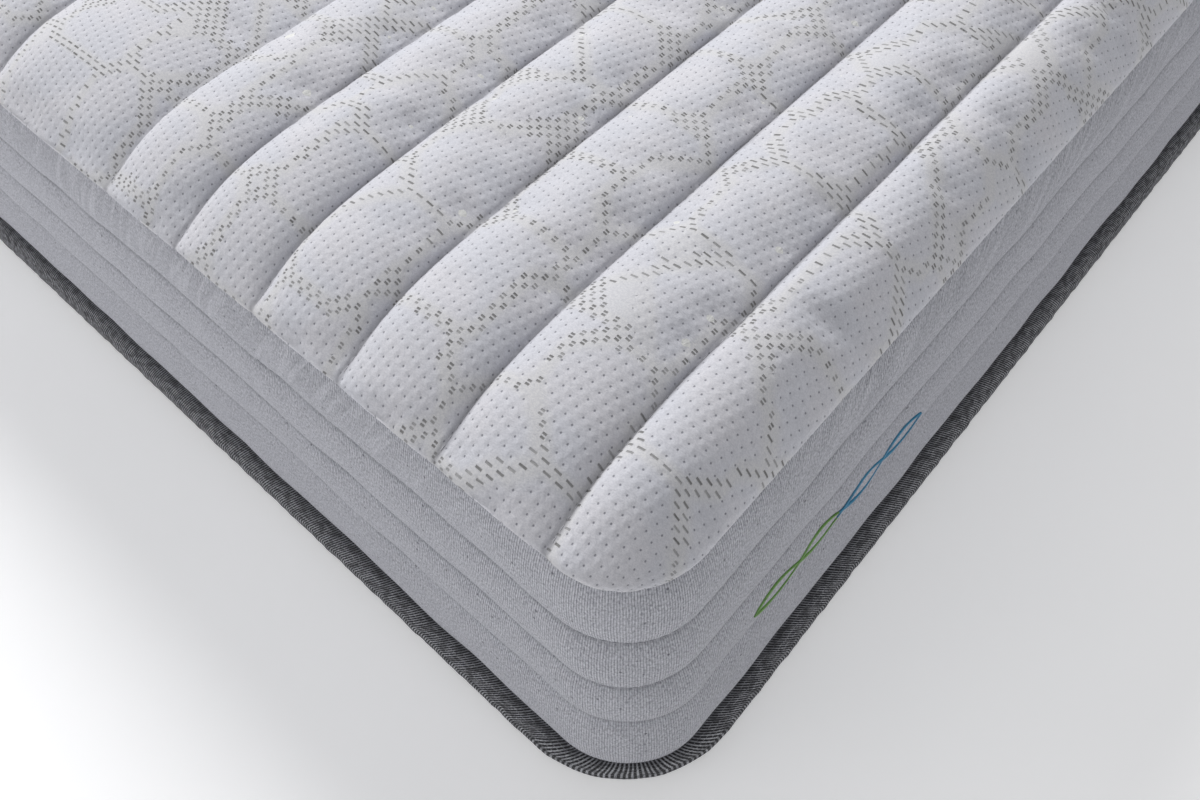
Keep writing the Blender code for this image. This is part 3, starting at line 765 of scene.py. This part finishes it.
def border_ring(marks, s, z, out):
    """The border's cloth at a level, with gathers that slant down from the top seam and a slow unevenness."""
    depth = max(BORDER_TOP - z, 0.0)
    fade = math.exp(-depth / 0.034) * straightness(marks)
    gathers = smooth_waves(s + 0.55 * depth, (0.0095, 0.015, 0.028), seed=31, period=s[-1]) * fade
    gathers *= 0.55 + 0.45 * smooth_waves(s, (0.12, 0.27), seed=37, period=s[-1])
    slow = smooth_waves(s - 0.8 * depth, **SLOW_WAVES, period=s[-1])
    lift = GATHER * gathers * min(depth / 0.004, 1.0) + SLOW_WAVE * slow
    return outline_ring(marks, z, corner_radius(z), out + lift)


def make_border(material, marks, s):
    """The knit border as one ring."""
    profile = border_profile()
    points = np.stack([border_ring(marks, s, z, out) for z, out in profile])
    # The third part, the distance from the nearest stitched line, sets the painted shade along the lines
    from_stitch = [[min(abs(z - line) for line in LINE_LEVELS)] for z, _ in profile]
    cloth = stacked(s, -path_lengths(profile)[:, None], from_stitch)
    faces = grid_faces(len(profile), len(marks), flip=True)
    piece = add_mesh("border", points, faces, material, ["border_knit"], cloth)
    store_attribute(piece.data, "gather", "FLOAT", "value", np.tile(straightness(marks), len(profile)))


# ---- underside

def band_radius(z, out):
    """Plan radius of the band's corners, which grows as the band flares and most where it stands out."""
    share = min(max((BAND_TOP - z) / (BAND_TOP - FLARE_LEVEL), 0.0), 1.0)
    return CORNER_BOTTOM + (CORNER_FLARE - CORNER_BOTTOM) * share + 0.009 * max(out, 0.0) / BAND_REACH


def band_profile():
    """The band as (level, offset outwards): it swells out below the border, rolls under and runs in flat."""
    top = BAND_TOP - 0.0005
    profile = []
    for i in range(BAND_STEPS + 1):
        angle = math.pi / 2 * i / BAND_STEPS
        level = BAND_WIDEST + (top - BAND_WIDEST) * math.cos(angle)
        profile.append((level, BAND_TUCK + (BAND_REACH - BAND_TUCK) * math.sin(angle)))
    for i in range(1, BAND_STEPS):
        angle = math.pi / 2 * i / (BAND_STEPS - 1)
        level = BAND_WIDEST - (BAND_WIDEST - BAND_LOWEST) * math.sin(angle)
        profile.append((level, BAND_REACH - BAND_TURN * (1 - math.cos(angle))))
    return [*profile, (BAND_LOWEST, -0.0030), (BAND_LOWEST, -0.0088)]


def make_band(material, marks, s):
    """The mesh band, folded down behind the zip at the head end and drawn in beside the zip's ends."""
    behind_zip = (marks[:, 0] == 1) & (marks[:, 2] == 0.0)
    profile = band_profile()
    levels = []
    for z, out in profile:
        ripple = BAND_RIPPLE * smooth_waves(s, (0.016, 0.035), seed=53, period=s[-1]) * min(z / 0.01, 1.0)
        ring = outline_ring(marks, z, band_radius(z, out), out + ripple)
        along = np.abs(ring[:, 0])
        beside = (DRAWN_IN_HALF - np.abs(along - DRAWN_IN_AT)) / DRAWN_IN_FADE + 1
        drawn_in = ease(beside) * behind_zip * np.clip((z - DRAWN_IN_ABOVE) / 0.002, 0.0, 1.0)
        ring[:, 1] -= max(out - DRAWN_IN_TO, 0.0) * drawn_in
        ring[behind_zip & (along < TAPE_HALF), 2] = min(z, ZIP_FOLD)
        levels.append(ring)
    points = np.stack(levels)
    across = path_lengths(profile)
    cloth = stacked(s, -across[:, None], 0.0)
    faces = grid_faces(len(levels), len(marks), flip=True)
    band = add_mesh("mesh_band", points, faces, material, ["bottom_mesh_band"], cloth)


def make_bottom_panel(material):
    """The flat mesh panel, as rings that close towards the middle."""
    marks = stations(COARSE_STEP, 10)[:-1]
    section = [(PANEL, inset) for inset in reversed(PANEL_INSETS)] + [(0.0, inset) for inset in PANEL_INSETS]
    rings = [outline_ring(marks, z, CORNER_FLARE, -inset) for z, inset in section]
    points = np.concatenate(rings)
    faces = capped_faces(len(rings), len(marks))
    panel = add_mesh("mesh_panel", points, faces, material, ["bottom_mesh_panel"], points)


# ---- inner layers

def make_slab(name, levels, material, node):
    """A foam slab with softened edges and faintly wavy cut sides."""
    marks = stations(COARSE_STEP, COARSE_ARC_STEPS)
    s = arc_lengths(marks)
    around = s[-1]
    marks, s = marks[:-1], s[:-1]
    low, high = levels
    section = []
    for angle in np.linspace(math.pi / 2, 0.0, 5):
        rise, depth = SLAB_EDGE * (1 - math.sin(angle)), SLAB_EDGE * (1 - math.cos(angle))
        section.append((low + rise, FOAM_INSET + depth))
    section += [(high - (z - low), depth) for z, depth in reversed(section)]
    rings = []
    for z, depth in section:
        wave = CUT_WAVE * smooth_waves(s + z, (0.05, 0.12), seed=61, period=around)
        rings.append(outline_ring(marks, z, SLAB_CORNER, wave - CUT_WAVE - depth))
    faces = capped_faces(len(rings), len(marks))
    piece = add_mesh(name, np.stack(rings), faces, material, [node])


def layer_grid(inset, radius, step, shares):
    """Plan points for an inner sheet: inset all round, with its own corner radius."""
    stations_in = [d for d in EDGE_STATIONS[::2] if d > inset + 0.001]
    xs, across = plan_columns(shares, [inset, *stations_in])
    ys = plan_rows([inset, *stations_in], step)
    sharp_x, sharp_y = np.meshgrid(xs, ys)
    x, y = round_corners(sharp_x, sharp_y, radius, inset)
    return x, y, np.broadcast_to(across, x.shape)


def closed_layer(name, grid, lower, upper, material, node):
    """A closed solid between two height functions over a plan grid."""
    x, y, share = grid
    rows, columns = x.shape
    count = rows * columns
    points = [stacked(x, y, height(x, y, share)) for height in (lower, upper)]
    faces = grid_faces(rows, columns)
    above = [[i + count for i in reversed(face)] for face in faces]
    rim = grid_rim(rows, columns)
    walls = wall_faces(rim, [i + count for i in rim])
    return add_mesh(name, points, [*faces, *above, *walls], material, [node])


def below_dome(gap):
    """A height function a gap below the top's valleys."""
    return lambda x, y, share: BORDER_TOP + dome(x, y) - gap


def make_quilt_layers():
    """Wadding and non-woven backing under the top knit."""

    def wadding_top(x, y, share):
        fade = 1 - np.exp(-outline_distance(x, y, CORNER_TOP)[0] / 0.02)
        return below_dome(WADDING_TOP)(x, y, share) + 0.9 * PUFF * crown(share) * fade

    fluff = fibre_material("quilt_wadding", (0.74, 0.74, 0.72), (0.90, 0.90, 0.88))
    grid = layer_grid(QUILT_INSET, CORNER_TOP, 0.02, (0.0, 0.06, 0.16, 0.32, 0.5, 0.68, 0.84, 0.94))
    wadding = closed_layer(
        "wadding", grid, below_dome(WADDING_UNDER), wadding_top, fluff, "quilt_wadding"
    )
    non_woven = fibre_material("quilt_backing", (0.55, 0.55, 0.55), (0.74, 0.74, 0.74))
    grid = layer_grid(QUILT_INSET, CORNER_TOP, INNER_STEP, INNER_SHARES)
    backing = closed_layer(
        "backing", grid, below_dome(BACKING_UNDER), below_dome(BACKING_TOP), non_woven,
        "quilt_backing",
    )
    return non_woven


def make_foam():
    """The three foam layers."""
    base = foam_material("base_foam", (0.52, 0.56, 0.62), (0.66, 0.70, 0.75))
    make_slab("foam_base", BASE_FOAM, base, "base_foam_core")
    middle = foam_material("transition_foam", (0.55, 0.68, 0.64), (0.68, 0.80, 0.76))
    make_slab("foam_transition", TRANSITION_FOAM, middle, "transition_foam_layer")
    cream = foam_material("memory_foam", (0.70, 0.64, 0.48), (0.82, 0.77, 0.62))
    memory = closed_layer(
        "foam_memory", layer_grid(FOAM_INSET, SLEEVE_CORNER, INNER_STEP, INNER_SHARES),
        lambda x, y, share: MEMORY_FOAM_LOW, below_dome(MEMORY_FOAM_TOP),
        cream, "memory_foam_layer",
    )


def make_sleeve():
    """The stretch sleeve drawn over the foam: its top, then its sides down to the hem."""
    x, y, share = layer_grid(SLEEVE_OUTER, SLEEVE_CORNER, INNER_STEP, INNER_SHARES)
    rows, columns = x.shape
    top = stacked(x, y, below_dome(SLEEVE_TOP)(x, y, share)).reshape(-1, 3)
    rings = [top]
    faces = grid_faces(rows, columns, flip=True)
    rim = above = grid_rim(rows, columns)
    for level in (0.75, 0.5, 0.25, 0.0):
        below = [i + sum(map(len, rings)) for i in range(len(rim))]
        ring = top[rim]
        ring[:, 2] = SLEEVE_HEM + (ring[:, 2] - SLEEVE_HEM) * level
        rings.append(ring)
        faces += wall_faces(below, above)
        above = below
    knit = fibre_material("fire_sleeve", (0.62, 0.62, 0.60), (0.84, 0.84, 0.82))
    sleeve = add_mesh("sleeve", np.concatenate(rings), faces, knit, ["fire_sleeve"])


def ring_strip(name, section, material, node):
    """A ring that carries a closed (level, offset) section round the outline."""
    marks = stations(COARSE_STEP, COARSE_ARC_STEPS)[:-1]
    rings = [outline_ring(marks, z, corner_radius(z), out) for z, out in section]
    faces = grid_faces(len(rings), len(marks), flip=True, wrap_rows=True, wrap_columns=True)
    return add_mesh(name, np.stack(rings), faces, material, [node])


def make_border_layers(backing_material):
    """The border's wadding and non-woven backing."""
    low, high = BAND_TOP + 0.001, BORDER_TOP - 0.001
    outer = [(z, min(out, 0.002) - 0.0030) for z, out in border_profile() if low < z < high]
    fluff = fibre_material("border_wadding", (0.70, 0.70, 0.68), (0.86, 0.86, 0.84))
    section = [*outer, (low, BORDER_WADDING_BACK), (high, BORDER_WADDING_BACK)]
    wadding = ring_strip("border_wadding_ring", section, fluff, "border_wadding")
    low, high = BAND_TOP + 0.0005, BORDER_TOP - 0.0005
    front, back = BORDER_BACKING_FRONT, BORDER_BACKING_BACK
    section = [(high, front), (low, front), (low, back), (high, back)]
    backing = ring_strip("border_backing_ring", section, backing_material, "border_backing")


# ---- threads

def thread_tubes(name, starts, ends, outward, rise, radius, material, nodes, sides=5):
    """Many short threads, each sunk at both ends and raised between, as one piece."""
    along = ends - starts
    tangent = along / np.linalg.norm(along, axis=1, keepdims=True)
    side = np.cross(tangent, outward)
    side /= np.linalg.norm(side, axis=1, keepdims=True)
    lift = np.cross(side, tangent)
    points = []
    stages = ((0.0, -0.8, 0.6), (0.22, 0.7, 1.0), (0.5, 1.0, 1.0), (0.78, 0.7, 1.0), (1.0, -0.8, 0.6))
    for share, height, girth in stages:
        centre = starts + along * share + outward * rise * height
        for angle in 2 * math.pi * np.arange(sides) / sides:
            points.append(centre + (side * math.cos(angle) + lift * math.sin(angle)) * radius * girth)
    firsts = np.arange(len(starts)) * len(points)
    around = [(i, (i + 1) % sides) for i in range(sides)]
    last = (len(stages) - 1) * sides
    quads = [(a + i, a + sides + i, a + sides + j, a + j) for a in range(0, last, sides) for i, j in around]
    caps = [range(sides), [last + i for i in reversed(range(sides))]]
    faces = (firsts[:, None, None] + quads).reshape(-1, 4).tolist()
    faces += (firsts[:, None, None] + caps).reshape(-1, sides).tolist()
    return add_mesh(name, np.stack(points, axis=1), faces, material, nodes)


def stitch_line(name, path, outward, material, nodes, radius=0.00035):
    """A row of lockstitches along a path; outward is one direction, or one for each of its points."""
    lengths = path_lengths(path)
    begins = np.arange(0.004, lengths[-1] - STITCH_STEP, STITCH_STEP)

    def at(positions, values):
        return stacked(*(np.interp(positions, lengths, part) for part in values.T))

    normal = at(begins + STITCH / 2, np.broadcast_to(outward, path.shape))
    normal /= np.linalg.norm(normal, axis=1, keepdims=True)
    ends = at(begins + STITCH, path)
    return thread_tubes(name, at(begins, path), ends, normal, STITCH_RISE, radius, material, nodes)


def make_channel_threads(points):
    """Quilting stitches that lie in each valley of the top."""
    white = yarn_material("channel_thread", (0.45, 0.45, 0.48), (0.74, 0.74, 0.78))
    xs, shares = plan_columns(CHANNEL_SHARES, EDGE_STATIONS)
    valleys = np.flatnonzero((shares == 0.0) & (np.abs(xs) < HALF_X - EDGE_WIDTH / 2))
    unsewn_rows = 4
    for number, column in enumerate(valleys, 1):
        path = points[unsewn_rows:-unsewn_rows, column]
        stitch_line(f"channel_stitches_{number:02d}", path, UP, white,
                    [f"channel_thread_{number:02d}"], radius=0.0003)


def make_ring_threads(marks, s):
    """Stitches along the border's three lines, and the two seams that close the cover."""
    grey = yarn_material("border_thread", (0.27, 0.275, 0.31), (0.46, 0.465, 0.51))
    dark = yarn_material("seam_thread", (0.08, 0.085, 0.10), (0.24, 0.25, 0.28))
    rings = [
        (f"border_stitches_{word}", z, ROW_CREASE + 0.0002, grey, "border_thread", f"border_thread_{word}")
        for z, word in zip(LINE_LEVELS, ("lower", "middle", "upper"))
    ]
    rings += [
        ("top_seam_stitches", BORDER_TOP + 0.0008, -0.0042, dark, "seam_thread", "top_seam_thread"),
        ("bottom_seam_stitches", BAND_TOP - 0.0004, -0.0036, dark, "seam_thread", "bottom_seam_thread"),
    ]
    angle = (marks[:, 0] + marks[:, 2]) * math.pi / 2
    outward = stacked(np.cos(angle), np.sin(angle), 0.0)
    for name, z, out, material, slot, node in rings:
        stitch_line(name, border_ring(marks, s, z, out), outward, material, [node])


# ---- embroidery

def border_face(y, z, marks, s):
    """X of the right-hand border's surface at points along it."""
    side = (marks[:, 0] == 0) & (marks[:, 2] == 0.0)
    reach = HALF_Y - CORNER_TOP
    order = np.argsort(marks[side, 1])
    length = np.interp(y, (2 * marks[side, 1][order] - 1) * reach, s[side][order])
    profile = sorted(border_profile())
    out = np.interp(z, [p[0] for p in profile], [p[1] for p in profile])
    slow = smooth_waves(length - 0.8 * (BORDER_TOP - z), **SLOW_WAVES, period=s[-1])
    return HALF_X + out + SLOW_WAVE * slow


def satin_wave(colour, start, end, material, marks, s):
    """Two crossing strands of a generic wave, in satin stitch."""
    step, half_stroke, end_taper, above_knit = 0.00042, 0.0017, 0.006, 0.0003
    turn_rate = 4 * math.pi / (WAVE_END - WAVE_START)
    along = np.arange(start, end, step)
    phase = turn_rate * (along - WAVE_START)
    taper = np.minimum(1.0, np.minimum(along - start, end - along) / end_taper + 0.25)
    half = half_stroke * taper * (1.15 + 0.35 * np.sin(phase * 2))
    starts, ends = [], []
    for amplitude in (WAVE_AMPLITUDE, -WAVE_AMPLITUDE):
        level = WAVE_LEVEL + amplitude * np.sin(phase)
        slope = amplitude * np.cos(phase) * turn_rate
        tilt = half / np.hypot(slope, 1.0)
        for sign, found in ((-1, starts), (1, ends)):
            y = -HALF_Y + along - slope * tilt * sign
            z = level + tilt * sign
            x = border_face(y, z, marks, s) + above_knit
            found.append(stacked(x, y, z))
    starts, ends = np.concatenate(starts), np.concatenate(ends)
    thread_tubes(f"wave_{colour}_stitches", starts, ends, ACROSS, rise=0.00040, radius=0.00026,
                 material=material, nodes=[f"wave_embroidery_{colour}"], sides=4)


def make_embroidery(marks, s):
    """The wave: green, then blue."""
    green = yarn_material("wave_green", (0.07, 0.21, 0.03), (0.24, 0.52, 0.10), twist=0.0006)
    blue = yarn_material("wave_blue", (0.008, 0.13, 0.28), (0.04, 0.38, 0.64), twist=0.0006)
    satin_wave("green", WAVE_START, WAVE_SPLIT, green, marks, s)
    satin_wave("blue", WAVE_SPLIT, WAVE_END, blue, marks, s)


# ---- zip

def make_zip_tapes():
    """The two woven tapes: a corded edge beside the coil, and a seam allowance turned in under the cover."""
    weave = woven_material("zip_tape", (0.018, 0.018, 0.021), (0.060, 0.060, 0.066))
    count = 320
    face, back, thick = 0.0047, 0.0081, 0.0005
    xs = np.linspace(-TAPE_HALF, TAPE_HALF, count)
    for name, way, sewn in (("upper", 1, BAND_TOP - 0.0004), ("lower", -1, 0.0088)):
        near = ZIP_LEVEL + way * ZIP_SLOT
        fold = sewn - way * thick
        cord = [(face - 0.0003, near), (face - 0.0004, near + way * 0.0004),
                (face - 0.0003, near + way * 0.0008)]
        outside = [(face, near + way * 0.0012), (face, sewn), (back, sewn)]
        inside = [(back, fold), (face + thick, fold), (face + thick, near)]
        loops = []
        for depth, z in (*cord, *outside, *inside):
            ripple = 0.00012 * smooth_waves(xs, (0.02, 0.05), seed=71) * min(abs(z - near) / 0.002, 1.0)
            loops.append(stacked(xs, HALF_Y - depth + ripple, z))
        faces = grid_faces(len(loops), count, flip=way < 0, wrap_rows=True)
        first = [i * count for i in range(len(loops))][::-way]
        faces += [first, [i + count - 1 for i in reversed(first)]]
        tape = add_mesh(f"tape_{name}", np.stack(loops), faces, weave, [f"zip_{name}_tape"])


def make_zip_coils():
    """The nylon coils, as one rounded loop after another along each tape."""
    nylon = nylon_material()
    face, pitch, loop_height, lean = HALF_Y - 0.0037, 0.0015, 0.0018, 0.0002
    for name, way, shift in (("upper", 1, 0.0), ("lower", -1, pitch / 2)):
        xs = np.arange(-ZIP_HALF + pitch, ZIP_HALF - pitch, pitch) + shift
        near = ZIP_LEVEL + way * (ZIP_SLOT + 0.0001)
        starts = stacked(xs - lean, face, near)
        ends = stacked(xs + lean, face, near + way * loop_height)
        thread_tubes(f"coil_{name}", starts, ends, ALONG, rise=0.00015, radius=0.0005,
                     material=nylon, nodes=[f"zip_{name}_coil"], sides=6)


def finish_zip_metal():
    """Lacquer and softened edges for the slider, its pull tab and the stops, which keep their CAD shapes."""
    lacquer = lacquer_material()
    for name in ("zip_slider", "zip_pull_tab", "zip_closed_stop", "zip_open_stop"):
        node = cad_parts[name]
        node.data.materials.clear()
        node.data.materials.append(lacquer)
        bevel = node.modifiers.new("edges", "BEVEL")
        bevel.width = 0.00018
        bevel.segments = 2
        bevel.limit_method = "ANGLE"
        bevel.angle_limit = math.radians(35)


# ---- stage

def make_stage():
    """Pale floor, a pale surround, a key light from the upper left and weaker ones to fill the shade."""
    size = 12.0
    mesh = bpy.data.meshes.new("floor")
    corners = [(-size, -size, 0), (size, -size, 0), (size, size, 0), (-size, size, 0)]
    mesh.from_pydata(corners, [], [(0, 1, 2, 3)])
    mesh.materials.append(floor_material())
    floor = add_object("floor", mesh)
    floor.location.z = -0.0005
    world = bpy.data.worlds.new("studio")
    world.use_nodes = True
    background = world.node_tree.nodes["Background"].inputs
    background["Color"].default_value = (0.97, 0.98, 1.0, 1.0)
    background["Strength"].default_value = 0.31
    bpy.context.scene.world = world
    for name, place, target, width, power in LIGHTS:
        light = bpy.data.lights.new(name, "AREA")
        light.shape, light.size, light.energy = "DISK", width, power
        lamp = add_object(name, light)
        lamp.location = place
        lamp.rotation_euler = (Vector(target) - lamp.location).to_track_quat("-Z", "Y").to_euler()
    bpy.context.scene.view_settings.view_transform = "Standard"


def make_camera():
    """The view down on to the foot's right-hand corner."""
    camera = bpy.data.cameras.new("camera")
    camera.sensor_width = 36.0
    camera.lens = 34.85
    camera.shift_x, camera.shift_y = 0.0333, -0.15
    viewer = add_object("camera", camera)
    axes = (CAMERA_RIGHT, CAMERA_RIGHT.cross(CAMERA_FORWARD), -CAMERA_FORWARD)
    viewer.matrix_world = Matrix.Translation(CAMERA_PLACE) @ Matrix(axes).transposed().to_4x4()
    bpy.context.scene.camera = viewer


def main():
    """Builds the stage and every piece."""
    make_camera()
    make_stage()
    marks = stations()
    lengths = arc_lengths(marks)
    top_points = make_top_knit(top_knit_material())
    make_channel_threads(top_points)
    make_border(border_material(), marks, lengths)
    make_ring_threads(marks, lengths)
    make_embroidery(marks, lengths)
    mesh = mesh_material()
    make_band(mesh, marks, lengths)
    make_bottom_panel(mesh)
    make_border_layers(make_quilt_layers())
    make_foam()
    make_sleeve()
    make_zip_tapes()
    make_zip_coils()
    finish_zip_metal()


main()
